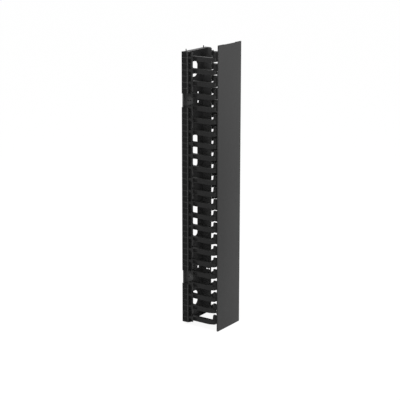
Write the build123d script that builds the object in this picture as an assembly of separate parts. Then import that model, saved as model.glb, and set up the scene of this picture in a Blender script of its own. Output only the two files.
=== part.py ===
"""Vertical cable manager for the side of a server rack, with a door hinged on both sides.

Millimetres. X is the width, +Y points to the rear and +Z is up. The origin is below the middle
of the whole object, level with the door's bottom edge. Pieces are drawn for the left side
and mirrored for the right.
"""

import os

from build123d import *

# Overall sizes
rack_space_height = 44.45
finger_pitch_spaces = 2
frame_width = 298.0
frame_end_cut = 2.35
frame_lift = 19.0
overall_depth = 317.0
overrun = 5.0

# Back panel, folded from one steel sheet
panel_sheet = 2.0
panel_side_flange = 12.0
panel_end_flange = 40.0
panel_bend = 2.5
hole_clear_width = 90.0
middle_hole_height = 240.0
middle_hole_offset_pitches = 3
end_hole_height = 116.0
end_hole_from_end = 143.0
middle_hole_corner = 24.0
end_hole_corner = 38.0
window_width = 16.0
window_height = 17.0
window_spread = 103.0
window_pair_gap = 65.0
window_pair_drop = 6.0

# Edge trim round a pass-through hole
trim_wall = 2.5
trim_proud = 2.0

# Studs welded on the top flange
stud_radius = 4.0
stud_height = 15.0
stud_from_side = 40.0
stud_from_rear = 12.0

# Side posts, steel strips welded on edge to the panel's front
post_sheet = 2.0
post_wall_from_side = 29.0
post_front_from_panel = 73.3

# Rack slots through the post, one behind the other, and the windows that bare them
slot_radius = 3.5
slot_length = 14.0
slot_spacing = 20.0
slot_from_post_front = 18.3
rack_window_height = 100.0
rack_window_step = 17.0

# Side covers over the panel's rear corners
cover_stand_off = 3.0
cover_wall = 2.5
cover_behind_panel = 2.5
cover_depth = 50.0
cover_return = 12.5
cover_cut = 0.8
cover_gap = 0.3

# Finger combs, each a ladder of pockets outside the post with its fingers in one moulding
fingers_a_comb = (4, 5, 5, 5, 4)
comb_wall = 2.5
comb_gap = 0.2
comb_joint_gap = 0.6
comb_front_to_panel = 73.5
comb_inner_setback = 11.0
comb_outer_setback = 25.0
rib_thickness = 3.0
rib_lift = 4.5
root_height = 16.0

# Snap feet of the combs, through the post
foot_length = 16.0
foot_thickness = 4.0
foot_from_rear = 22.0
foot_drop = 16.0
foot_barb = 1.5
foot_reach = 2.4
foot_fit = 0.3

# Fingers
finger_width = 28.0
finger_outer_inset = 1.0
finger_height = 34.0
finger_wall = 4.0
finger_behind_door = 11.0
finger_nose_outer_cut = 10.0
finger_taper_length = 57.0
finger_taper_rise = 8.0
finger_root_length = 20.0
finger_root_flare = 2.5
root_pocket_from_root = 14.0
root_pocket_length = 44.0
arm_pocket_from_nose = 43.0
head_gap = 12.4
head_lean = 4.0
head_tip_length = 22.0
head_base_length = 31.0
head_blend = 12.0
head_thickness = 14.0
head_outer_inset = 11.5
head_tip_cut = 3.0

# Door, a shallow pan
door_width = 290.0
door_above_frame = 64.5
door_depth = 9.0
door_sheet = 1.5
door_corner = 6.0
stiffener_sheet = 1.2
stiffener_crown = 36.0
stiffener_foot = 12.0
stiffener_slope = 6.0
stiffener_depth = 7.0
stiffener_end_gap = 100.0
cap_width = 70.0
cap_height = 3.0
cap_cut = 1.5
cap_peg_width = 12.0
cap_peg_thickness = 3.0
cap_peg_length = 6.0
cap_peg_fit = 0.1

# Hinges on both sides of the door
clipped_fingers = (1, 21)
pin_radius = 3.0
pin_from_door_edge = 7.0
pin_from_door_front = 11.0
pin_tail = 2.0
pin_fit = 0.05
clip_height = 24.0
clip_wall = 1.9
clip_slot_fit = 0.1
clip_tine_length = 4.5
clip_base_thickness = 3.0
clip_base_start = 2.0
clip_base_width = 15.0
clip_peg_from_pin = 11.0
clip_peg_width = 6.0
clip_peg_height = 12.0
clip_peg_length = 8.0
clip_peg_fit = 0.1
lug_thickness = 2.5
lug_half_width = 5.0
lug_cut = 2.0
lug_gap = 0.3
bracket_plate = 2.0
bracket_plate_inner = 13.0
bracket_plate_outer = 5.2

# Worked out from the sizes above
finger_pitch = finger_pitch_spaces * rack_space_height
fingers_a_side = sum(fingers_a_comb)
frame_height = fingers_a_side * finger_pitch - 2 * frame_end_cut
door_height = frame_lift + frame_height + door_above_frame
head_height = finger_pitch - finger_height - head_gap
front_y = -overall_depth / 2
rear_y = overall_depth / 2
left_x = -frame_width / 2
bottom_z = frame_lift
top_z = frame_lift + frame_height
middle_z = (bottom_z + top_z) / 2
panel_rear_y = rear_y - cover_behind_panel
panel_front_y = panel_rear_y - panel_sheet
panel_left_x = left_x + cover_stand_off
post_outer_x = left_x + post_wall_from_side
post_inner_x = post_outer_x + post_sheet
post_front_y = panel_front_y - post_front_from_panel
comb_left_x = panel_left_x + panel_sheet + comb_gap
comb_right_x = post_outer_x - comb_gap
comb_rear_y = panel_front_y - comb_gap
comb_front_y = panel_front_y - comb_front_to_panel
finger_left_x = left_x + finger_outer_inset
cover_front_y = rear_y - cover_depth
finger_nose_y = front_y + door_depth + finger_behind_door
middle_finger = (fingers_a_side - 1) // 2
last_comb = len(fingers_a_comb) - 1
pin_x = -door_width / 2 + pin_from_door_edge
pin_y = front_y + pin_from_door_front


def finger_middle(index):
    """Height of the middle of a finger's arm, counted from the lowest."""
    return middle_z + (index - middle_finger) * finger_pitch


def comb_fingers(number):
    """The fingers of a comb, combs counted from the lowest."""
    first = sum(fingers_a_comb[:number])
    return range(first, first + fingers_a_comb[number])


def rounded(sketch, corners, radius):
    """Round the corners of a flat outline that lie nearest to the given points."""
    for corner in corners:
        vertex = min(sketch.vertices(), key=lambda v: (Vector(v) - Vector(corner)).length)
        sketch = fillet(vertex, radius)
    return sketch


def outline(points):
    """A flat face with straight sides."""
    return make_face(Polyline(*points, close=True))


def upright(sketch, low, high):
    """A plan outline carried up from one height to another."""
    return extrude(Pos(0, 0, low) * sketch, high - low)


def sideways(sketch, start, end):
    """An outline in Y and Z carried along X."""
    return extrude(Plane.YZ.offset(start) * sketch, end - start)


def block(low, high):
    """A rectangular block between two corners."""
    size = Vector(*high) - Vector(*low)
    centre = (Vector(*high) + Vector(*low)) / 2
    return Pos(centre) * Box(size.X, size.Y, size.Z)


def rod(start, direction, radius, length):
    """A round bar that starts at a point and runs along an axis."""
    return extrude(Plane(origin=start, z_dir=direction) * Circle(radius), length)


def across_y(sketch, centre, front, rear):
    """An outline in X and Z, centred at a place, carried from front to rear."""
    plane = Plane(origin=(centre[0], front, centre[1]), x_dir=(1, 0, 0), z_dir=(0, 1, 0))
    return extrude(plane * sketch, rear - front)


def both_sides(shape):
    """Left and right copies of a left-hand piece."""
    return {"left": shape, "right": shape.mirror(Plane.YZ)}


def save(name, shapes):
    """Write one sub-part, made of one or more separate solids."""
    solids = []
    for shape in shapes:
        solids += shape.solids()
    export_step(solids[0] if len(solids) == 1 else Compound(solids), f"parts/{name}.step")


# Heights of the four pass-through holes, from the top down
hole_places = [
    (top_z - end_hole_from_end, end_hole_height, end_hole_corner),
    (middle_z + middle_hole_offset_pitches * finger_pitch, middle_hole_height, middle_hole_corner),
    (middle_z - middle_hole_offset_pitches * finger_pitch, middle_hole_height, middle_hole_corner),
    (bottom_z + end_hole_from_end, end_hole_height, end_hole_corner),
]
window_step = finger_pitch / 2
rack_window_places = {
    "lower": finger_middle(comb_fingers(0)[-1]) + window_step,
    "upper": finger_middle(comb_fingers(last_comb)[0]) - window_step,
}


def foot_heights(number):
    """Heights of a comb's two snap feet, below its second finger and above its last but one."""
    fingers = comb_fingers(number)
    yield finger_middle(fingers[1]) - window_step + foot_drop
    yield finger_middle(fingers[-2]) + window_step - foot_drop


def back_panel():
    """Steel channel with its flanges forward, top and bottom flanges between the posts."""
    right_x = -panel_left_x
    flange_y = panel_rear_y - panel_side_flange
    channel = outline([
        (panel_left_x, flange_y),
        (panel_left_x, panel_rear_y),
        (right_x, panel_rear_y),
        (right_x, flange_y),
        (right_x - panel_sheet, flange_y),
        (right_x - panel_sheet, panel_front_y),
        (panel_left_x + panel_sheet, panel_front_y),
        (panel_left_x + panel_sheet, flange_y),
    ])
    channel = rounded(channel, [(panel_left_x, panel_rear_y), (right_x, panel_rear_y)], panel_bend)
    inner = [(panel_left_x + panel_sheet, panel_front_y), (right_x - panel_sheet, panel_front_y)]
    channel = rounded(channel, inner, panel_bend - panel_sheet)
    panel = upright(channel, bottom_z, top_z)
    flange_x = post_inner_x + comb_gap
    shelf_front = panel_rear_y - panel_end_flange
    for low in (bottom_z, top_z - panel_sheet):
        panel += block((flange_x, shelf_front, low), (-flange_x, panel_rear_y, low + panel_sheet))
    for z, height, corner in hole_places:
        edge = RectangleRounded(
            hole_clear_width + 2 * trim_wall, height + 2 * trim_wall, corner + trim_wall
        )
        panel -= across_y(edge, (0, z), panel_front_y - overrun, panel_rear_y + overrun)
    window = Rectangle(window_width, window_height)
    for z in rack_window_places.values():
        for side in (-1, 1):
            for step in (-1, 1):
                place = (side * window_spread / 2, z - window_pair_drop + step * window_pair_gap / 2)
                panel -= across_y(window, place, panel_front_y - overrun, panel_rear_y + overrun)
    return panel


def side_post():
    """Steel strip on edge between the cable channel and the combs, as tall as the panel."""
    post = block((post_outer_x, post_front_y, bottom_z), (post_inner_x, panel_front_y, top_z))
    for z in rack_window_places.values():
        for step in (0, 1):
            y = post_front_y + slot_from_post_front + step * slot_spacing
            slot = Pos(y, z) * SlotOverall(slot_length, 2 * slot_radius)
            post -= sideways(slot, post_outer_x - overrun, post_inner_x + overrun)
    for number in range(len(fingers_a_comb)):
        for z in foot_heights(number):
            post -= foot_block(z, foot_fit, overrun)
    return post


def foot_block(z, fit, reach):
    """The straight part of a snap foot, or with a fit and a reach its slot in the post."""
    rear = comb_rear_y - foot_from_rear + fit
    low = (comb_right_x - comb_wall - reach, rear - foot_length - 2 * fit, z - foot_thickness / 2 - fit)
    return block(low, (post_inner_x + foot_reach + reach, rear, z + foot_thickness / 2 + fit))


def top_stud():
    """Stud welded on the top flange."""
    start = (left_x + stud_from_side, rear_y - stud_from_rear, top_z)
    return rod(start, (0, 0, 1), stud_radius, stud_height)


def pass_through_trim(z, height, corner):
    """Plastic liner of a hole's edge, proud of the panel on both faces."""
    outer = RectangleRounded(
        hole_clear_width + 2 * trim_wall, height + 2 * trim_wall, corner + trim_wall
    )
    inner = RectangleRounded(hole_clear_width, height, corner)
    return across_y(outer - inner, (0, z), panel_front_y - trim_proud, panel_rear_y + trim_proud)


def comb_plan():
    """Plan of a comb's ribs, slanting back from the post to the side cover."""
    return outline([
        (comb_right_x, comb_front_y + comb_inner_setback),
        (comb_left_x, comb_front_y + comb_outer_setback),
        (comb_left_x, comb_rear_y),
        (comb_right_x, comb_rear_y),
    ])


def finger_comb(number):
    """Moulded ladder of pockets with its fingers, which ends at a rack window or a joint."""
    fingers = comb_fingers(number)
    joint_low = finger_middle(fingers[0]) - window_step
    joint_high = finger_middle(fingers[-1]) + window_step
    at_window = {1: joint_low, last_comb: joint_low, 0: joint_high, last_comb - 1: joint_high}
    window = at_window.get(number)
    short = rack_window_height / 2 - rack_window_step
    low = joint_low + (short if window == joint_low else comb_joint_gap / 2)
    high = joint_high - (short if window == joint_high else comb_joint_gap / 2)
    low = bottom_z if number == 0 else low
    high = top_z if number == last_comb else high
    comb = upright(comb_plan(), low, high)
    levels = [(low, rib_thickness), (high, rib_thickness)]
    levels += [(finger_middle(i), root_height / 2) for i in fingers]
    levels += [(finger_middle(i) + window_step + rib_lift, rib_thickness / 2) for i in fingers[:-1]]
    levels = sorted(levels)
    for (below, thick_below), (above, thick_above) in zip(levels, levels[1:]):
        pocket_low, pocket_high = below + thick_below, above - thick_above
        if pocket_high > pocket_low:
            comb -= block((comb_left_x + comb_wall, comb_front_y, pocket_low),
                          (comb_right_x - comb_wall, comb_rear_y - comb_wall, pocket_high))
    if window:
        half = rack_window_height / 2
        comb -= block((comb_left_x - overrun, cover_front_y, window - half),
                      (comb_right_x + overrun, comb_rear_y + overrun, window + half))
    for i in fingers:
        comb += finger(i)
    for z in foot_heights(number):
        comb += snap_foot(z)
    return comb


def snap_foot(z):
    """Foot on a comb, through a slot in the post, with a barb behind it."""
    foot = foot_block(z, 0, 0)
    rear = comb_rear_y - foot_from_rear
    top = z + foot_thickness / 2
    barb = Plane.XZ.offset(-rear) * outline([
        (post_inner_x + foot_fit, top),
        (post_inner_x + foot_reach, top),
        (post_inner_x + foot_fit, top + foot_barb),
    ])
    return foot + extrude(barb, foot_length)


def side_cover(low, high):
    """Plastic cover clipped over the steel channel's rear corner."""
    inner_x = left_x + cover_wall
    inner_face = comb_left_x - comb_gap
    hook_rear = panel_rear_y - panel_side_flange - cover_gap
    lip_front = panel_rear_y + cover_gap
    plan = outline([
        (left_x + cover_cut, cover_front_y),
        (inner_face, cover_front_y),
        (inner_face, cover_front_y + cover_wall),
        (inner_x, cover_front_y + cover_wall),
        (inner_x, hook_rear - cover_wall),
        (inner_face, hook_rear - cover_wall),
        (inner_face, hook_rear),
        (inner_x, hook_rear),
        (inner_x, lip_front),
        (left_x + cover_return, lip_front),
        (left_x + cover_return, rear_y),
        (left_x + cover_cut, rear_y),
        (left_x, rear_y - cover_cut),
        (left_x, cover_front_y + cover_cut),
    ])
    return upright(plan, low, high)


def finger(index):
    """One cable finger: an arm, hollow from both sides, with an upturned head."""
    middle = finger_middle(index)
    base = middle - finger_height / 2
    top = middle + finger_height / 2
    nose = finger_nose_y
    arm = outline([
        (comb_front_y, base),
        (nose + finger_taper_length, base),
        (nose, base + finger_taper_rise),
        (nose, top),
        (comb_front_y - finger_root_flare, top),
        (comb_front_y, top + finger_root_flare),
    ])
    inner_x = finger_left_x + finger_width
    body = sideways(arm, finger_left_x, inner_x)
    head_x = finger_left_x + head_outer_inset
    body += sideways(head_outline(nose, middle, top), head_x, head_x + head_thickness)
    body &= upright(finger_plan(nose), base, top + head_height)
    low, high = base + finger_wall, top - finger_wall
    rear = comb_front_y - root_pocket_from_root
    front = rear - root_pocket_length
    body -= block((finger_left_x - overrun, front, low), (inner_x - finger_wall, rear, high))
    body -= block((finger_left_x + finger_wall, nose + arm_pocket_from_nose, low),
                  (inner_x + overrun, front - finger_wall, high))
    if index in clipped_fingers:
        body -= clip_peg(middle, clip_peg_fit)
    root_rear = comb_front_y + comb_outer_setback + comb_wall
    root = block((comb_left_x, comb_front_y, middle - root_height / 2),
                 (comb_right_x, root_rear, middle + root_height / 2))
    return body + root


def head_outline(nose, middle, top):
    """Side view of the upturned head, leaning back, on the front of the arm."""
    tip = top + head_height
    lean = nose + head_lean
    foot = nose + head_base_length
    return outline([
        (nose, middle),
        (nose, top),
        (lean, tip - head_tip_cut),
        (lean + head_tip_cut, tip),
        (lean + head_tip_length - head_tip_cut, tip),
        (lean + head_tip_length, tip - head_tip_cut),
        (foot, top + head_blend),
        (foot + head_blend, top),
        (foot + head_blend, middle),
    ])


def finger_plan(nose):
    """Plan of a finger: narrow at the rail, full width along the arm, cut at the nose."""
    inner_x = finger_left_x + finger_width
    outer_cut = finger_nose_outer_cut
    return outline([
        (comb_left_x, comb_front_y),
        (finger_left_x, comb_front_y - finger_root_length),
        (finger_left_x, nose + outer_cut),
        (finger_left_x + outer_cut, nose),
        (inner_x, nose),
        (inner_x, comb_front_y),
    ])


def clip_peg(z, fit):
    """Peg of a hinge clip, or with a fit its hole in the finger's nose."""
    x = pin_x + clip_peg_from_pin
    width = clip_peg_width / 2 + fit
    height = clip_peg_height / 2 + fit
    reach = overrun if fit else clip_base_thickness
    return block((x - width, finger_nose_y - reach, z - height),
                 (x + width, finger_nose_y + clip_peg_length + fit, z + height))


def hinge_clip(z):
    """Moulded hook on a finger's nose, open to the front for a hinge pin."""
    ring = clip_wall + pin_radius + clip_slot_fit
    bore = pin_radius + clip_slot_fit
    to_nose = finger_nose_y - pin_y
    base_front = to_nose - clip_base_thickness
    plan = outline([
        (-ring, -clip_tine_length),
        (ring, -clip_tine_length),
        (ring, base_front),
        (clip_base_start + clip_base_width, base_front),
        (clip_base_start + clip_base_width, to_nose),
        (clip_base_start, to_nose),
        (clip_base_start, base_front),
        (-ring / 2, ring),
        (-ring, ring / 2),
    ])
    mouth = Pos(0, -clip_tine_length) * Rectangle(2 * bore, 2 * clip_tine_length)
    plan = plan - Circle(bore) - mouth
    clip = upright(Pos(pin_x, pin_y) * plan, z - clip_height / 2, z + clip_height / 2)
    return clip + clip_peg(z, 0)


def pin_bracket(z):
    """Folded bracket inside the door's edge, with a lug that rests above the clip."""
    plate_front = door_sheet - pin_from_door_front
    plate = outline([
        (-bracket_plate_outer, plate_front),
        (bracket_plate_inner, plate_front),
        (bracket_plate_inner, plate_front + bracket_plate),
        (-bracket_plate_outer, plate_front + bracket_plate),
    ])
    edge = lug_half_width
    cut = edge - lug_cut
    lug = outline([
        (-edge, plate_front), (edge, plate_front), (edge, cut), (cut, edge), (-cut, edge), (-edge, cut),
    ])
    inside = clip_height / 2 + lug_gap
    outside = inside + lug_thickness
    bracket = upright(plate, -inside, outside) + upright(lug, inside, outside)
    bracket -= rod((0, 0, 0), (0, 0, 1), pin_radius + pin_fit, outside + overrun)
    return Pos(pin_x, pin_y, z) * bracket


def hinge_pin(z):
    """Plain pin, pressed through the bracket's lug and hanging down through the clip."""
    low = z - clip_height / 2 - pin_tail
    high = z + clip_height / 2 + lug_gap + lug_thickness + pin_tail
    return rod((pin_x, pin_y, low), (0, 0, 1), pin_radius, high - low)


def door_panel():
    """Shallow steel pan that covers the whole front."""
    middle = (0, door_height / 2)
    outer = RectangleRounded(door_width, door_height, door_corner)
    inner = Rectangle(door_width - 2 * door_sheet, door_height - 2 * door_sheet)
    pan = across_y(outer, middle, front_y, front_y + door_depth)
    pan -= across_y(inner, middle, front_y + door_sheet, front_y + door_depth + overrun)
    for hole in both_sides(cap_peg(cap_peg_fit)).values():
        pan -= hole
    return pan


def cap_peg(fit):
    """Flat peg under a corner cap, or with a fit its slot in the door's top flange."""
    x = -door_width / 2 + cap_width / 2
    y = front_y + (door_sheet + door_depth) / 2
    width = cap_peg_width / 2 + fit
    half = cap_peg_thickness / 2 + fit
    return block((x - width, y - half, door_height - cap_peg_length), (x + width, y + half, door_height))


def door_top_cap():
    """Moulded cap on a top corner of the door."""
    low_x = -door_width / 2
    high = door_height + cap_height
    cap = Plane.XZ.offset(-front_y - door_depth) * outline([
        (low_x, door_height),
        (low_x + cap_width, door_height),
        (low_x + cap_width, high - cap_cut),
        (low_x + cap_width - cap_cut, high),
        (low_x + cap_cut, high),
        (low_x, high - cap_cut),
    ])
    return extrude(cap, door_depth) + cap_peg(0)


def door_stiffener():
    """Hat-section channel spot-welded down the door's inner face."""
    face = front_y + door_sheet
    crown = stiffener_crown / 2
    shoulder = crown + stiffener_slope
    foot = shoulder + stiffener_foot
    deep = face + stiffener_depth
    sheet = stiffener_sheet
    half = [
        (foot, face), (foot, face + sheet), (shoulder, face + sheet), (crown, deep),
    ]
    under = [(crown - sheet, deep - sheet), (shoulder - sheet, face)]
    left_half = [(-x, y) for x, y in reversed(half)]
    left_under = [(-x, y) for x, y in reversed(under)]
    plan = outline(half + left_half + left_under + under)
    return upright(plan, stiffener_end_gap, door_height - stiffener_end_gap)


os.makedirs("parts", exist_ok=True)
save("back_panel", [back_panel()])
save("top_studs", both_sides(top_stud()).values())
for number, (z, height, corner) in enumerate(hole_places, 1):
    save(f"pass_through_trim_{number}", [pass_through_trim(z, height, corner)])
for side, shape in both_sides(side_post()).items():
    save(f"side_post_{side}", [shape])

for number in range(len(fingers_a_comb)):
    for side, shape in both_sides(finger_comb(number)).items():
        save(f"finger_comb_{number + 1}_{side}", [shape])

half_window = rack_window_height / 2
joint_low = rack_window_places["lower"]
joint_high = rack_window_places["upper"]
covers = {
    "lower": (bottom_z, joint_low - half_window),
    "middle": (joint_low + half_window, joint_high - half_window),
    "upper": (joint_high + half_window, top_z),
}
for level, (low, high) in covers.items():
    for side, shape in both_sides(side_cover(low, high)).items():
        save(f"side_cover_{level}_{side}", [shape])

clip_heights = [finger_middle(i) for i in clipped_fingers]
groups = {"hinge_clips": hinge_clip, "pin_brackets": pin_bracket, "hinge_pins": hinge_pin}
for name, make in groups.items():
    group = Compound([make(z).solid() for z in clip_heights])
    for side, shape in both_sides(group).items():
        save(f"{name}_{side}", [shape])

save("door_panel", [door_panel()])
save("door_stiffener", [door_stiffener()])
save("door_top_caps", both_sides(door_top_cap()).values())
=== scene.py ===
"""Vertical cable manager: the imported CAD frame, dressed and lit for the photograph's view."""

import math

import bmesh
import bpy
from mathutils import Matrix, Vector


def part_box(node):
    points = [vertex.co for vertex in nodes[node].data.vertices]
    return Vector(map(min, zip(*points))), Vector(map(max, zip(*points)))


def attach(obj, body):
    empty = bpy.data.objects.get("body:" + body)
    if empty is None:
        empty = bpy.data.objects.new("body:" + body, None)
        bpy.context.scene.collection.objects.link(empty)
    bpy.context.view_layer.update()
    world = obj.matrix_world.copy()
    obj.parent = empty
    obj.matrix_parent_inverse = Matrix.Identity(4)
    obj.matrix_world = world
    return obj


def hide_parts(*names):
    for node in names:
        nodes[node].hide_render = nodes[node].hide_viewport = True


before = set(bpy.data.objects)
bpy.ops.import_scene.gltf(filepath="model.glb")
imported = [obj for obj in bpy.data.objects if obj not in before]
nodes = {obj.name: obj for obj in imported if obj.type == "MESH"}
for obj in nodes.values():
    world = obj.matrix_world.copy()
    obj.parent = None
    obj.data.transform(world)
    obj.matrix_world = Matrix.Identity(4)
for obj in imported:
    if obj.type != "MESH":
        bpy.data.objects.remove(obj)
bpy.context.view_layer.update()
scene = bpy.context.scene


# Back panel: a steel sheet folded into a tall channel and powder coated in black.
# The pressed and punched form is the CAD node itself, and only its finish is made here.
MM = 0.001
NOISE_MIDDLE = 0.5
SCUFFS_A_METRE = 60.0
SCUFF_STRETCH = (1, 1, 0.35)
SCUFF_GAIN = 2.0
SCUFF_LEVEL = 0.35
EDGE_GAIN = 6.0
PATCH_DULLS = 0.16
SCUFF_DULLS = 0.1
RUBBING_SHINES = 0.08


class Field:
    """A shader socket that takes plain arithmetic."""

    def __init__(self, tree, socket=None):
        self.tree = tree
        self.socket = socket

    def node(self, kind, inputs=None, settings=None, output=0):
        """Adds a node of any kind and gives one of its outputs."""
        made = self.tree.nodes.new(kind)
        for name, value in (settings or {}).items():
            setattr(made, name, value)
        for name, value in (inputs or {}).items():
            if isinstance(value, Field):
                self.tree.links.new(value.socket, made.inputs[name])
            else:
                made.inputs[name].default_value = value
        return Field(self.tree, made.outputs[output])

    def maths(self, operation, first, second=0.0):
        return self.node("ShaderNodeMath", {0: first, 1: second}, {"operation": operation})

    def __add__(self, other):
        return self.maths("ADD", self, other)

    def __sub__(self, other):
        return self.maths("SUBTRACT", self, other)

    def __mul__(self, other):
        return self.maths("MULTIPLY", self, other)

    def __rsub__(self, other):
        return self.maths("SUBTRACT", other, self)

    __radd__ = __add__
    __rmul__ = __mul__

    def limited(self, low=0.0, high=1.0):
        """The value kept between two limits."""
        return self.maths("MINIMUM", self.maths("MAXIMUM", self, low), high)

    def noise(self, scale, detail=2.0, stretch=(1, 1, 1)):
        """Noise on these coordinates, stretched along an axis if asked."""
        placed = self.node("ShaderNodeMapping", {"Vector": self, "Scale": stretch})
        return self.node("ShaderNodeTexNoise",
                         {"Vector": placed, "Scale": scale, "Detail": detail})

    def part(self, axis):
        """One number of these coordinates: 0, 1 or 2 for X, Y or Z."""
        return self.node("ShaderNodeSeparateXYZ", {"Vector": self}, output=axis)

    def tinting(self, color):
        """A colour times this number."""
        return self.node("ShaderNodeMix", {6: color, 7: self, 0: 1.0},
                         {"data_type": "RGBA", "blend_type": "MULTIPLY"}, output=2)


def finish(name, color, roughness, grain, depth, mottle, patch, edge_wear_and_highlight, rounding,
           metallic=0.0, shine=0.5, stretch=(1, 1, 1)):
    """A finish with fine grain, slow patches, and brighter edges: rubbed wear where the edge
    share is small, and a painted highlight on the edges where it is large.

    Depth and rounding are in millimetres, and grain and patch are repeats a metre.
    Color has three parts, and shine is the level of the plain reflection.
    """
    material = bpy.data.materials.new(name)
    material.use_nodes = True
    tree = material.node_tree
    shader = tree.nodes["Principled BSDF"]
    start = Field(tree)
    place = start.node("ShaderNodeTexCoord", output=3)
    slow = place.noise(patch, 3.0, stretch)
    fine = place.noise(grain, 2.0, stretch)
    scuffs = place.noise(SCUFFS_A_METRE, 4.0, SCUFF_STRETCH)
    rounded = start.node("ShaderNodeBevel", {"Radius": rounding * MM}, {"samples": 6})
    flat = start.node("ShaderNodeNewGeometry", output=1)
    facing = start.node("ShaderNodeVectorMath", {0: rounded, 1: flat},
                        {"operation": "DOT_PRODUCT"}, output=1)
    # Edge mask times scuff noise: real rubbed wear at small edge shares, and a painted highlight
    # on the edges at large ones.
    rubbed_and_highlit_edges = (((1.0 - facing) * EDGE_GAIN).limited()
              * (scuffs * SCUFF_GAIN - SCUFF_LEVEL).limited())
    tone = ((slow - NOISE_MIDDLE) * (2 * mottle) + (fine - NOISE_MIDDLE) * mottle
            + rubbed_and_highlit_edges * edge_wear_and_highlight + 1.0)
    paint = tone.tinting((*color, 1))
    polish = ((slow - NOISE_MIDDLE) * PATCH_DULLS + (scuffs - NOISE_MIDDLE) * SCUFF_DULLS
              - rubbed_and_highlit_edges * RUBBING_SHINES + roughness)
    bump = start.node("ShaderNodeBump", {"Strength": 1.0, "Distance": depth * MM,
                                         "Height": fine, "Normal": rounded})
    pairs = ((paint, "Base Color"), (polish.limited(), "Roughness"), (bump, "Normal"))
    for value, target in pairs:
        tree.links.new(value.socket, shader.inputs[target])
    shader.inputs["Metallic"].default_value = metallic
    shader.inputs["Specular IOR Level"].default_value = shine
    return material


def coat(prefix, material):
    """Gives a material to every CAD node whose name starts with the prefix."""
    for name, node in nodes.items():
        if name.startswith(prefix):
            for place in node.material_slots:
                place.material = material


frame_coat = finish("frame powder coat", (0.036, 0.036, 0.036), 0.5, grain=900, depth=0.05,
                    mottle=0.08, patch=3, edge_wear_and_highlight=0.35, rounding=0.8, shine=0.3)
coat("back_panel", frame_coat)
panel_low, panel_high = (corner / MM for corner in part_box("back_panel"))


# Side posts: two steel strips on edge with the slots for the rack's bolts, welded to the
# panel and coated with it. They stay the CAD nodes.
coat("side_post", frame_coat)


# Top studs: two threaded studs, welded upright on the panel's top flange for a cable tray.
# They wear the frame's coat, with a rolled thread and a plain foot.
STUD_RADIUS = 4.0
THREAD_PITCH = 1.25
THREAD_DEPTH = 0.7
SAME_POINT = 0.0005


def turn(profile, place, steps=28):
    """A form turned about an upright axis, from points of radius and height."""
    bm = bmesh.new()
    points = [bm.verts.new((radius, 0, height)) for radius, height in profile]
    edges = [bm.edges.new(pair) for pair in zip(points, points[1:])]
    bmesh.ops.spin(bm, geom=points + edges, axis=(0, 0, 1), angle=2 * math.pi,
                   steps=steps, use_merge=True)
    bmesh.ops.remove_doubles(bm, verts=bm.verts, dist=SAME_POINT)
    bmesh.ops.recalc_face_normals(bm, faces=bm.faces)
    bmesh.ops.translate(bm, verts=bm.verts, vec=place)
    return bm


def joined(forms):
    """One bmesh from several."""
    whole = bmesh.new()
    for form in forms:
        mesh = bpy.data.meshes.new("form")
        form.to_mesh(mesh)
        form.free()
        whole.from_mesh(mesh)
        bpy.data.meshes.remove(mesh)
    return whole


def moved(form, matrix):
    """A copy of a form under a matrix, turned the right way out if it was mirrored."""
    copy = form.copy()
    bmesh.ops.transform(copy, matrix=matrix, verts=copy.verts)
    if matrix.determinant() < 0:
        bmesh.ops.reverse_faces(copy, faces=copy.faces)
    return copy


def piece(name, form, material, body, replaced):
    """Turns a bmesh in millimetres into a piece that rides on a body, in a node's place."""
    mesh = bpy.data.meshes.new(name)
    form.to_mesh(mesh)
    form.free()
    mesh.transform(Matrix.Scale(MM, 4))
    mesh.shade_smooth()
    mesh.set_sharp_from_angle(angle=math.radians(40))
    mesh.materials.append(material)
    made = bpy.data.objects.new(name, mesh)
    scene.collection.objects.link(made)
    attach(made, body)
    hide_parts(replaced)


stud_low, stud_high = (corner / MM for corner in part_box("top_studs"))
stud_height = stud_high.z - stud_low.z
root_radius = STUD_RADIUS - THREAD_DEPTH
profile = [(0, 0), (STUD_RADIUS, 0), (STUD_RADIUS, THREAD_PITCH)]
for i in range(1, int(stud_height / THREAD_PITCH) - 1):
    profile.append((root_radius, (i + 0.5) * THREAD_PITCH))
    profile.append((STUD_RADIUS, (i + 1) * THREAD_PITCH))
profile += [(root_radius, stud_height), (0, stud_height)]
stud_y = (stud_low.y + stud_high.y) / 2
studs = [turn(profile, (x, stud_y, stud_low.z))
         for x in (stud_low.x + STUD_RADIUS, stud_high.x - STUD_RADIUS)]
piece("threaded_studs", joined(studs), frame_coat, "frame", "top_studs")


# Edge liners: soft black rings in the four pass-through holes, with a rolled bead all round
# so that the cables are not cut by the sheet.
LINER_WALL = 2.5
LINER_BEAD = 1.2
HOLE_CORNERS = (38.0, 24.0, 24.0, 38.0)
SHARP = 35

liner_rubber = finish("liner rubber", (0.016, 0.016, 0.016), 0.55, grain=1500, depth=0.03,
                      mottle=0.1, patch=10, edge_wear_and_highlight=0.3, rounding=0.4, shine=0.25)


def flat_face(points, axis, start):
    """A bmesh with one face, whose points lie across an axis."""
    bm = bmesh.new()
    corners = {"X": lambda a, b: (start, a, b), "Y": lambda a, b: (a, start, b),
               "Z": lambda a, b: (a, b, start)}[axis]
    bm.faces.new([bm.verts.new(corners(a, b)) for a, b in points])
    return bm


def thickened(bm, vector):
    """Extrudes every face of a flat bmesh and closes it."""
    made = bmesh.ops.extrude_face_region(bm, geom=bm.faces[:])
    moving = [item for item in made["geom"] if isinstance(item, bmesh.types.BMVert)]
    bmesh.ops.translate(bm, verts=moving, vec=vector)
    bmesh.ops.recalc_face_normals(bm, faces=bm.faces)
    return bm


def soften(bm, width, segments=2, least=SHARP):
    """Rounds every edge sharper than a number of degrees."""
    sharp = [e for e in bm.edges
             if len(e.link_faces) == 2 and e.calc_face_angle(0) > math.radians(least)]
    bmesh.ops.bevel(bm, geom=sharp, offset=width, segments=segments, affect="EDGES",
                    profile=0.5, material=-1, clamp_overlap=True)
    return bm


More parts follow.
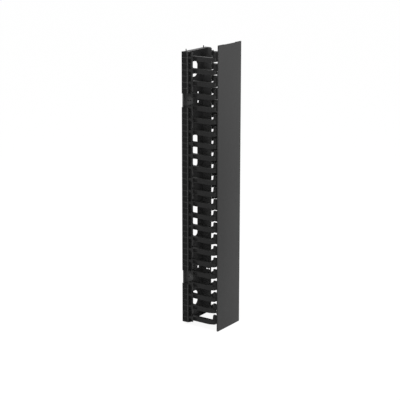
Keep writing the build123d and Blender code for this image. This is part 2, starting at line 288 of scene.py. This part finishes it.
for number, corner in enumerate(HOLE_CORNERS, 1):
    low, high = (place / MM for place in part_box(f"pass_through_trim_{number}"))
    ring = flat_face([(low.x, low.z), (high.x, low.z), (high.x, high.z), (low.x, high.z)],
                     "Y", low.y)
    bmesh.ops.bevel(ring, geom=ring.verts[:], offset=corner + LINER_WALL, segments=14,
                    affect="VERTICES", profile=0.5, material=-1)
    inset = bmesh.ops.inset_region(ring, faces=ring.faces[:], thickness=LINER_WALL,
                                   use_boundary=True, use_even_offset=True)
    bmesh.ops.delete(ring, geom=[f for f in ring.faces if f not in inset["faces"]],
                     context="FACES")
    thickened(ring, (0, high.y - low.y, 0))
    soften(ring, LINER_BEAD, 3, 60)
    piece(f"edge_liner_{number}", ring, liner_rubber, "frame",
          f"pass_through_trim_{number}")


# Side covers: long black extruded channels clipped over the panel's rear corners. They stay the
# CAD nodes, in the combs' plastic but duller. Painted highlights lie on them: thin light lines
# across them at each rack space and one along their front edge, where edges catch the light.
RACK_SPACE = 44.45
HIGHLIGHT_LINE_HALF = 2.0
EDGE_HIGHLIGHT_Y = 109.8
EDGE_HIGHLIGHT_HALF = 2.6
PAINTED_HIGHLIGHT_GAIN = 6.5

# Its large edge share paints a highlight along the cover's rounded edges.
cover_plastic = finish("cover plastic", (0.009, 0.009, 0.009), 0.5, grain=1800, depth=0.03,
                       mottle=0.1, patch=7, edge_wear_and_highlight=3.0, rounding=1.0, shine=0.06)
cover_tree = cover_plastic.node_tree
cover_color = cover_tree.nodes["Principled BSDF"].inputs["Base Color"]
bare_color = Field(cover_tree, cover_color.links[0].from_socket)
cover_place = bare_color.node("ShaderNodeTexCoord", output=3)
middle_z = (panel_low.z + panel_high.z) / 2
# Painted highlight lines across the cover at each rack space, and one along its front edge.
from_highlight_line = cover_place.maths("PINGPONG", cover_place.part(2) - middle_z * MM,
                              RACK_SPACE / 2 * MM)
from_edge_highlight = cover_place.maths("ABSOLUTE", cover_place.part(1) - EDGE_HIGHLIGHT_Y * MM)
highlight_lines = (1.0 - from_highlight_line * (1 / (HIGHLIGHT_LINE_HALF * MM))).limited()
edge_highlight = (1.0 - from_edge_highlight * (1 / (EDGE_HIGHLIGHT_HALF * MM))).limited()
with_painted_highlights = highlight_lines.maths("MAXIMUM", highlight_lines, edge_highlight) * PAINTED_HIGHLIGHT_GAIN + 1.0
cover_tree.links.new(with_painted_highlights.tinting(bare_color).socket, cover_color)
coat("side_cover", cover_plastic)


# Finger combs: glass-filled nylon mouldings, five to a side, snapped to the posts.
# Each is a ladder of open pockets, with a finger every two rack units that ends in an
# upturned head. Pockets keep the walls even, and every edge is rounded for the cables.
PITCH = 2 * RACK_SPACE
FINGERS_A_COMB = (4, 5, 5, 5, 4)
MIDDLE_FINGER = 11
COMBS_UNDER_WINDOWS = (0, 3)
COMBS_OVER_WINDOWS = (1, 4)
WINDOW_HALF = 50.0
COMB_SEAM = 0.3
ROOT_Y = 80.5
ROOT_HEIGHT = 16.0
ROOT_SINK = 0.5
WALL = 2.5
RIB = 3.0
RIB_LIFT = 4.5
INNER_SETBACK = 11.0
OUTER_SETBACK = 25.0
LADDER_LEFT, LADDER_RIGHT, LADDER_REAR = -143.8, -120.2, 153.8
FORK_REACH = 17.0
FORK_OVERLAP = 0.5
FORK_FRONT = 108.5
SKIN = 0.1
NEAR = 0.01

# Its large edge share paints a highlight along every rounded edge of the combs.
comb_plastic = finish("comb plastic", (0.016, 0.016, 0.016), 0.45, grain=2600, depth=0.02,
                      mottle=0.12, patch=14, edge_wear_and_highlight=4.0, rounding=0.5, shine=0.09)


def box(low, high):
    """A block between two corners."""
    bm = bmesh.new()
    size = Vector(high) - Vector(low)
    bmesh.ops.create_cube(bm, size=1)
    bmesh.ops.scale(bm, vec=size, verts=bm.verts)
    bmesh.ops.translate(bm, vec=(Vector(high) + Vector(low)) / 2, verts=bm.verts)
    return bm


def curved(corner, start, end, steps=5):
    """Points of a curve between two points, drawn towards a corner on its way."""
    corner, start, end = Vector(corner), Vector(start), Vector(end)
    shares = [i / steps for i in range(steps + 1)]
    return [tuple((1 - t) ** 2 * start + 2 * t * (1 - t) * corner + t * t * end) for t in shares]


def split(bm, point, normal, clear_outer=False):
    """Slices a form with a plane, and gives what lies on it."""
    geometry = bm.verts[:] + bm.edges[:] + bm.faces[:]
    made = bmesh.ops.bisect_plane(bm, geom=geometry, plane_co=point, plane_no=normal,
                                  clear_outer=clear_outer)
    return made["geom_cut"]


def cut(bm, point, normal):
    """Slices a form with a plane, keeps the near side and closes it."""
    on_plane = split(bm, point, normal, clear_outer=True)
    rim = [item for item in on_plane if isinstance(item, bmesh.types.BMEdge)]
    bmesh.ops.holes_fill(bm, edges=rim)


def flattened(bm):
    """Joins the faces that lie in one plane."""
    bmesh.ops.dissolve_limit(bm, angle_limit=math.radians(1), verts=bm.verts, edges=bm.edges)


def sink(bm, side_x, depth, low, high):
    """Sinks a pocket into the side of a form, between two corners in Y and Z."""
    for y in (low[0], high[0]):
        split(bm, (0, y, 0), (0, 1, 0))
    for z in (low[1], high[1]):
        split(bm, (0, 0, z), (0, 0, 1))
    floor = []
    for face in bm.faces:
        middle = face.calc_center_median()
        if (abs(middle.x - side_x) < NEAR and low[0] < middle.y < high[0]
                and low[1] < middle.z < high[1]):
            floor.append(face)
    made = bmesh.ops.extrude_face_region(bm, geom=floor)
    moving = [item for item in made["geom"] if isinstance(item, bmesh.types.BMVert)]
    bmesh.ops.translate(bm, verts=moving, vec=(depth, 0, 0))
    bmesh.ops.delete(bm, geom=floor, context="FACES_ONLY")


# One arm, drawn at height zero: flared into the ladder, hollow from the outside behind
# and from the inside in front, with thin cross ribs in the long pocket. A web hangs under
# the root of its inner wall.
ARM_HEIGHT = 34.0
ARM_WIDTH = 28.0
ARM_WALL = 4.0
ARM_TAPER = 57.0
ARM_RISE = 8.0
ARM_ROUND = 0.9
ROOT_FLARE = 8.0
NOSE_ROUND = 2.0
NOSE_UNDER_ROUND = 4.0
NOSE_UNDER_DROP = 0.5
TAPER_ROUND = 12.0
TAPER_STEP = 1.7
NOSE_OUTER_CUT = 10.0
NOSE_INNER_CUT = 3.0
ROOT_CUT = 20.0
OUTER_POCKET_FROM_ROOT = 14.0
OUTER_POCKET_LENGTH = 44.0
OUTER_POCKET_DEPTH = 12.0
INNER_POCKET_FROM_NOSE = 43.0
INNER_POCKET_BAYS = 3
INNER_POCKET_RIB = 2.2
GUSSET_LENGTH = 42.0
GUSSET_DROP = 10.0
GUSSET_BEND = 8.0
GUSSET_WALL = 3.0
GUSSET_OVERLAP = 1.0
GUSSET_GAP = 0.2

comb_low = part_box("finger_comb_3_left")[0] / MM
nose, outer = comb_low.y, comb_low.x
inner = outer + ARM_WIDTH


def finger_arm():
    """An arm with its pockets and the web under its root."""
    half = ARM_HEIGHT / 2
    under_nose = ARM_RISE - half
    taper_end = nose + ARM_TAPER
    side_view = (
        curved((ROOT_Y, half), (ROOT_Y, half + ROOT_FLARE), (ROOT_Y - ROOT_FLARE, half))
        + curved((nose, half), (nose + NOSE_ROUND, half), (nose, half - NOSE_ROUND), 2)
        + curved((nose, under_nose), (nose, under_nose + NOSE_UNDER_ROUND),
                 (nose + NOSE_UNDER_ROUND, under_nose - NOSE_UNDER_DROP), 2)
        + curved((taper_end - TAPER_ROUND, TAPER_STEP - half), (taper_end, -half),
                 (taper_end + TAPER_ROUND, -half), 3)
        + [(ROOT_Y, -half)]
    )
    arm = thickened(flat_face(side_view, "X", outer), (ARM_WIDTH, 0, 0))
    cut(arm, (outer, nose + NOSE_OUTER_CUT, 0), (-1, -1, 0))
    cut(arm, (inner, nose + NOSE_INNER_CUT, 0), (1, -1, 0))
    cut(arm, (outer, ROOT_Y - ROOT_CUT, 0), (-ROOT_CUT, LADDER_LEFT - outer, 0))
    floor, roof = ARM_WALL - half, half - ARM_WALL
    rear = ROOT_Y - OUTER_POCKET_FROM_ROOT
    front = rear - OUTER_POCKET_LENGTH
    sink(arm, outer, OUTER_POCKET_DEPTH, (front, floor), (rear, roof))
    long_low, long_high = nose + INNER_POCKET_FROM_NOSE, front - ARM_WALL
    bay = (long_high - long_low + INNER_POCKET_RIB) / INNER_POCKET_BAYS
    for i in range(INNER_POCKET_BAYS):
        start = long_low + i * bay
        end = start + bay - INNER_POCKET_RIB
        sink(arm, inner, ARM_WALL - ARM_WIDTH, (start, floor), (end, roof))
    flattened(arm)
    web_front, web_rear = ROOT_Y - GUSSET_LENGTH, ROOT_Y - GUSSET_GAP
    web_view = curved((web_front, -half), (ROOT_Y - GUSSET_BEND, -half),
                      (web_rear, -half - GUSSET_DROP), 6)
    web_view += [(web_rear, GUSSET_OVERLAP - half), (web_front, GUSSET_OVERLAP - half)]
    web = thickened(flat_face(web_view, "X", inner - GUSSET_WALL), (GUSSET_WALL, 0, 0))
    return joined([soften(arm, ARM_ROUND), web])


# One head, drawn on the arm at height zero: a flat plate in the arm's middle, with its
# thickness along X. It leans back and narrows towards the tip.
HEAD_HEIGHT = 42.5
HEAD_FROM_OUTER = 11.5
HEAD_THICKNESS = 14.0
HEAD_FRONT = 0.6
HEAD_LEAN = 3.7
HEAD_TIP_ROUND = 4.0
HEAD_TIP_REAR = 26.0
HEAD_TIP_SLOPE = 0.4
HEAD_WAIST = 30.0
HEAD_WAIST_HEIGHT = 14.0
HEAD_BASE = 31.4
HEAD_FOOT = 43.0
HEAD_FOOT_SINK = 0.4
HEAD_ROUND = 1.4


def finger_head():
    """A head with its foot on the arm."""
    top = ARM_HEIGHT / 2
    tip = top + HEAD_HEIGHT
    under_tip = tip - HEAD_TIP_ROUND
    tip_rear = nose + HEAD_TIP_REAR
    side_view = (
        [(nose + HEAD_FRONT, 0), (nose + HEAD_FRONT, top)]
        + curved((nose + HEAD_TIP_ROUND, tip), (nose + HEAD_LEAN, under_tip),
                 (nose + 2 * HEAD_TIP_ROUND, tip), 3)
        + curved((tip_rear - HEAD_TIP_ROUND, tip), (tip_rear, tip),
                 (tip_rear + HEAD_TIP_SLOPE, under_tip), 3)
        + curved((nose + HEAD_WAIST, top + HEAD_WAIST_HEIGHT), (nose + HEAD_BASE, top),
                 (nose + HEAD_FOOT, top - HEAD_FOOT_SINK), 6)
        + [(nose + HEAD_FOOT, 0)]
    )
    head = flat_face(side_view, "X", outer + HEAD_FROM_OUTER)
    return soften(thickened(head, (HEAD_THICKNESS, 0, 0)), HEAD_ROUND, 3)


# The ladder stands behind the fingers: a root block at each finger, a thin rib midway
# between two, and walls all round. Beside a rack window it ends in two prongs and a bar.
LADDER_ROUND = 0.5
ROOT_ROUND = 0.6
FORK_ROUND = 0.4


def comb_ladder(low, high, middles):
    """Walls and ribs of one comb, with the pockets open to the front."""
    plan = [
        (LADDER_RIGHT, ROOT_Y + INNER_SETBACK), (LADDER_LEFT, ROOT_Y + OUTER_SETBACK),
        (LADDER_LEFT, LADDER_REAR), (LADDER_RIGHT, LADDER_REAR),
    ]
    ladder = thickened(flat_face(plan, "Z", low), (0, 0, high - low))
    bars = [(low, RIB), (high, RIB)]
    bars += [(z, ROOT_HEIGHT / 2) for z in middles]
    bars += [(z + PITCH / 2 + RIB_LIFT, RIB / 2) for z in middles[:-1]]
    bars.sort()
    pockets = [(a + a_half, b - b_half) for (a, a_half), (b, b_half) in zip(bars, bars[1:])]
    for start, end in pockets:
        split(ladder, (0, 0, start), (0, 0, 1))
        split(ladder, (0, 0, end), (0, 0, 1))
    left, right = LADDER_LEFT + WALL, LADDER_RIGHT - WALL
    split(ladder, (left, 0, 0), (1, 0, 0))
    split(ladder, (right, 0, 0), (1, 0, 0))
    mouths = []
    for face in ladder.faces:
        at = face.calc_center_median()
        inside = any(start < at.z < end for start, end in pockets)
        if inside and face.normal.y < -0.5 and left < at.x < right:
            mouths.append(face)
    made = bmesh.ops.extrude_face_region(ladder, geom=mouths)
    for item in made["geom"]:
        if isinstance(item, bmesh.types.BMVert):
            item.co.y = LADDER_REAR - WALL
    bmesh.ops.delete(ladder, geom=mouths, context="FACES_ONLY")
    flattened(ladder)
    return soften(ladder, LADDER_ROUND)


def root_block(z):
    """The solid block behind one finger."""
    half = ROOT_HEIGHT / 2 - SKIN
    block = box((LADDER_LEFT + SKIN, ROOT_Y - ROOT_SINK, z - half),
                (LADDER_RIGHT - SKIN, ROOT_Y + OUTER_SETBACK + WALL, z + half))
    return soften(block, ROOT_ROUND)


def fork(low, high, bar_z):
    """Two prongs beside a rack window, and the bar that joins them."""
    front, forms = ROOT_Y + 2 * SKIN, []
    for x, setback in ((LADDER_LEFT, OUTER_SETBACK), (LADDER_RIGHT - WALL, INNER_SETBACK)):
        prong = box((x, front + setback, low), (x + WALL, FORK_FRONT, high))
        forms.append(soften(prong, FORK_ROUND, 1))
    left, right = LADDER_LEFT + 2 * SKIN, LADDER_RIGHT - 2 * SKIN
    plan = [(right, front + INNER_SETBACK), (left, front + OUTER_SETBACK),
            (left, FORK_FRONT - SKIN), (right, FORK_FRONT - SKIN)]
    bar = thickened(flat_face(plan, "Z", bar_z), (0, 0, RIB))
    return forms + [soften(bar, FORK_ROUND, 1)]


arm_form, head_form = finger_arm(), finger_head()
first = 0
for number, count in enumerate(FINGERS_A_COMB):
    middles = [middle_z + (i - MIDDLE_FINGER) * PITCH for i in range(first, first + count)]
    first += count
    forms = []
    for z in middles:
        lift = Matrix.Translation((0, 0, z))
        forms += [moved(arm_form, lift), moved(head_form, lift), root_block(z)]
    low = middles[0] - PITCH / 2 + COMB_SEAM if number else panel_low.z
    last = number == len(FINGERS_A_COMB) - 1
    high = panel_high.z if last else middles[-1] + PITCH / 2 - COMB_SEAM
    prongs = []
    if number in COMBS_UNDER_WINDOWS:
        high += COMB_SEAM - WINDOW_HALF
        prongs = fork(high - FORK_OVERLAP, high + FORK_REACH, high + FORK_REACH - RIB)
    if number in COMBS_OVER_WINDOWS:
        low += WINDOW_HALF - COMB_SEAM
        prongs = fork(low - FORK_REACH, low + FORK_OVERLAP, low - FORK_REACH)
    whole = joined(forms + [comb_ladder(low, high, middles)] + prongs)
    for side, sign in (("left", 1), ("right", -1)):
        half_form = moved(whole, Matrix.Diagonal((sign, 1, 1, 1)))
        name = f"finger_comb_{number + 1}_{side}"
        piece(f"moulded_{name}", half_form, comb_plastic, "frame", name)
    whole.free()


# Hinge clips, brackets and pins: small black hooks on the fingers' noses, zinc brackets
# behind the door's edges, and bright pins. All of them stay the CAD nodes.
clip_plastic = finish("clip plastic", (0.016, 0.016, 0.016), 0.4, grain=2600, depth=0.02,
                      mottle=0.08, patch=14, edge_wear_and_highlight=0.4, rounding=0.4, shine=0.3)
bright_zinc = finish("bright zinc", (0.56, 0.55, 0.53), 0.3, grain=1500, depth=0.008,
                     mottle=0.06, patch=20, edge_wear_and_highlight=0.1, rounding=0.2, metallic=1.0)
bracket_zinc = finish("bracket zinc", (0.52, 0.52, 0.5), 0.34, grain=700, depth=0.01,
                      mottle=0.1, patch=9, edge_wear_and_highlight=0.1, rounding=0.4, metallic=1.0,
                      stretch=(1, 1, 0.05))
coat("hinge_clips", clip_plastic)
coat("pin_brackets", bracket_zinc)
coat("hinge_pins", bright_zinc)


# Door: one steel sheet folded into a shallow pan as tall as the manager, satin black.
# Its bends are tight, and a hat-section stiffener is spot welded down the inside.
DOOR_SHEET = 1.5
DOOR_CORNER = 6.0
DOOR_BEND = 1.2

door_coat = finish("door powder coat", (0.024, 0.024, 0.024), 0.42, grain=1100, depth=0.03,
                   mottle=0.05, patch=1.6, edge_wear_and_highlight=0.3, rounding=0.5, shine=0.16)
coat("door_stiffener", door_coat)
low, high = (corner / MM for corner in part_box("door_panel"))
pan = flat_face([(low.x, low.z), (high.x, low.z), (high.x, high.z), (low.x, high.z)],
                "Y", high.y)
bmesh.ops.bevel(pan, geom=pan.verts[:], offset=DOOR_CORNER, segments=8, affect="VERTICES",
                profile=0.5, material=-1)
thickened(pan, (0, low.y - high.y, 0))
rear_face = max(pan.faces, key=lambda face: face.calc_center_median().y)
bmesh.ops.inset_region(pan, faces=[rear_face], thickness=DOOR_SHEET, use_boundary=True,
                       use_even_offset=True)
sunk = bmesh.ops.extrude_face_region(pan, geom=[rear_face])
moving = [item for item in sunk["geom"] if isinstance(item, bmesh.types.BMVert)]
bmesh.ops.translate(pan, verts=moving, vec=(0, low.y - high.y + DOOR_SHEET, 0))
bmesh.ops.delete(pan, geom=[rear_face], context="FACES_ONLY")
front_rim = [edge for edge in pan.edges
             if all(abs(v.co.y - low.y) < NEAR for v in edge.verts)
             and edge.calc_face_angle(0) > math.radians(SHARP)]
bmesh.ops.bevel(pan, geom=front_rim, offset=DOOR_BEND, segments=3, affect="EDGES",
                profile=0.5, material=-1)
piece("folded_door_pan", pan, door_coat, "door", "door_panel")


# Corner caps: two moulded caps on the door's top corners, with a soft edge all round.
CAP_WIDTH = 70.0
CAP_HEIGHT = 3.0
CAP_ROUND = 1.4

low, high = (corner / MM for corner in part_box("door_top_caps"))
caps = []
for start, end in ((low.x, low.x + CAP_WIDTH), (high.x - CAP_WIDTH, high.x)):
    cap = box((start, low.y, high.z - CAP_HEIGHT), (end, high.y, high.z))
    upper = [e for e in cap.edges if all(v.co.z > high.z - NEAR for v in e.verts)]
    bmesh.ops.bevel(cap, geom=upper, offset=CAP_ROUND, segments=3, affect="EDGES",
                    profile=0.5, material=-1)
    caps.append(cap)
piece("rounded_door_caps", joined(caps), clip_plastic, "door",
      "door_top_caps")


# Camera, fitted to the door's edges and to the spacing of the fingers.
# It stands far off, to the left of the front, and looks a little down.
CAMERA_PLACE = Vector((-7.5757, -5.1875, 3.4137))
CAMERA_TURN = math.radians(34.9207)
CAMERA_PITCH = math.radians(14.9927)
CAMERA_LENS = 116.077
CAMERA_SENSOR = 36
CAMERA_FAR = 100

camera_data = bpy.data.cameras.new("camera")
camera_data.lens = CAMERA_LENS
camera_data.sensor_width = CAMERA_SENSOR
camera_data.clip_end = CAMERA_FAR
camera = bpy.data.objects.new("camera", camera_data)
scene.collection.objects.link(camera)
look = Vector((
    math.cos(CAMERA_PITCH) * math.cos(CAMERA_TURN),
    math.cos(CAMERA_PITCH) * math.sin(CAMERA_TURN),
    -math.sin(CAMERA_PITCH),
))
camera.location = CAMERA_PLACE
camera.rotation_euler = look.to_track_quat("-Z", "Y").to_euler()
scene.camera = camera
scene.view_settings.view_transform = "Standard"


# Studio: plain white around and below, with soft light mostly from above and the front.
# The lens, gloss and glass see plain white, and the floor keeps a faint shadow. Lamps are
# given by name, place, aim, size and power.
FLOOR_SIZE = 60.0
FLOOR_TONE = (0.6, 0.6, 0.6, 1)
FLOOR_WHITENESS = 1.15
FLOOR_WHITE_SHARE = 0.8
WHITE = (1, 1, 1, 1)
SKY_RISE = 0.8
SKY_MIDDLE = 0.1
SKY_LEAST = 0.05
SKY_MOST = 0.95
LENS_GLOSS_AND_GLASS = (0, 3, 6)
LAMPS = (
    ("high door lamp", (-0.3, -1.5, 2.2), (0, 0, 1.9), 0.8, 25),
    ("top lamp", (-0.8, 0.2, 4.5), (0, 0, 1.5), 1.5, 60),
    ("fill lamp", (-6.0, -3.9, 2.8), (0, 0, 1.0), 1.5, 190),
)

world = bpy.data.worlds.new("studio")
scene.world = world
world.use_nodes = True
sky = Field(world.node_tree)
height = sky.node("ShaderNodeTexCoord").part(2)
glow = (height * SKY_RISE + SKY_MIDDLE).limited(SKY_LEAST, SKY_MOST)


def seen_plainly(field):
    """One for the rays that the lens, gloss and glass send, and nothing for the rest."""
    rays = [field.node("ShaderNodeLightPath", output=i) for i in LENS_GLOSS_AND_GLASS]
    return (rays[0] + rays[1] + rays[2]).limited()


lit = sky.node("ShaderNodeBackground", {"Color": WHITE, "Strength": glow})
white = sky.node("ShaderNodeBackground", {"Color": WHITE, "Strength": 1.0})
both = sky.node("ShaderNodeMixShader", {0: seen_plainly(sky), 1: lit, 2: white})
world.node_tree.links.new(both.socket, world.node_tree.nodes["World Output"].inputs["Surface"])

floor_paint = bpy.data.materials.new("floor paint")
floor_paint.use_nodes = True
tree = floor_paint.node_tree
ground = Field(tree)
matt = ground.node("ShaderNodeBsdfDiffuse", {"Color": FLOOR_TONE})
shine = ground.node("ShaderNodeEmission", {"Color": WHITE, "Strength": FLOOR_WHITENESS})
share = seen_plainly(ground) * FLOOR_WHITE_SHARE
mixed = ground.node("ShaderNodeMixShader", {0: share, 1: matt, 2: shine})
tree.links.new(mixed.socket, tree.nodes["Material Output"].inputs["Surface"])
floor_form = bmesh.new()
bmesh.ops.create_grid(floor_form, x_segments=1, y_segments=1, size=FLOOR_SIZE / 2)
floor_mesh = bpy.data.meshes.new("floor")
floor_form.to_mesh(floor_mesh)
floor_form.free()
floor_mesh.materials.append(floor_paint)
floor = bpy.data.objects.new("floor", floor_mesh)
scene.collection.objects.link(floor)


def soft_lamp(name, place, aim, size, power):
    """A square area lamp that faces a point."""
    data = bpy.data.lights.new(name, "AREA")
    data.size = size
    data.energy = power
    lamp = bpy.data.objects.new(name, data)
    lamp.location = place
    lamp.rotation_euler = (Vector(aim) - Vector(place)).to_track_quat("-Z", "Y").to_euler()
    scene.collection.objects.link(lamp)


for lamp in LAMPS:
    soft_lamp(*lamp)
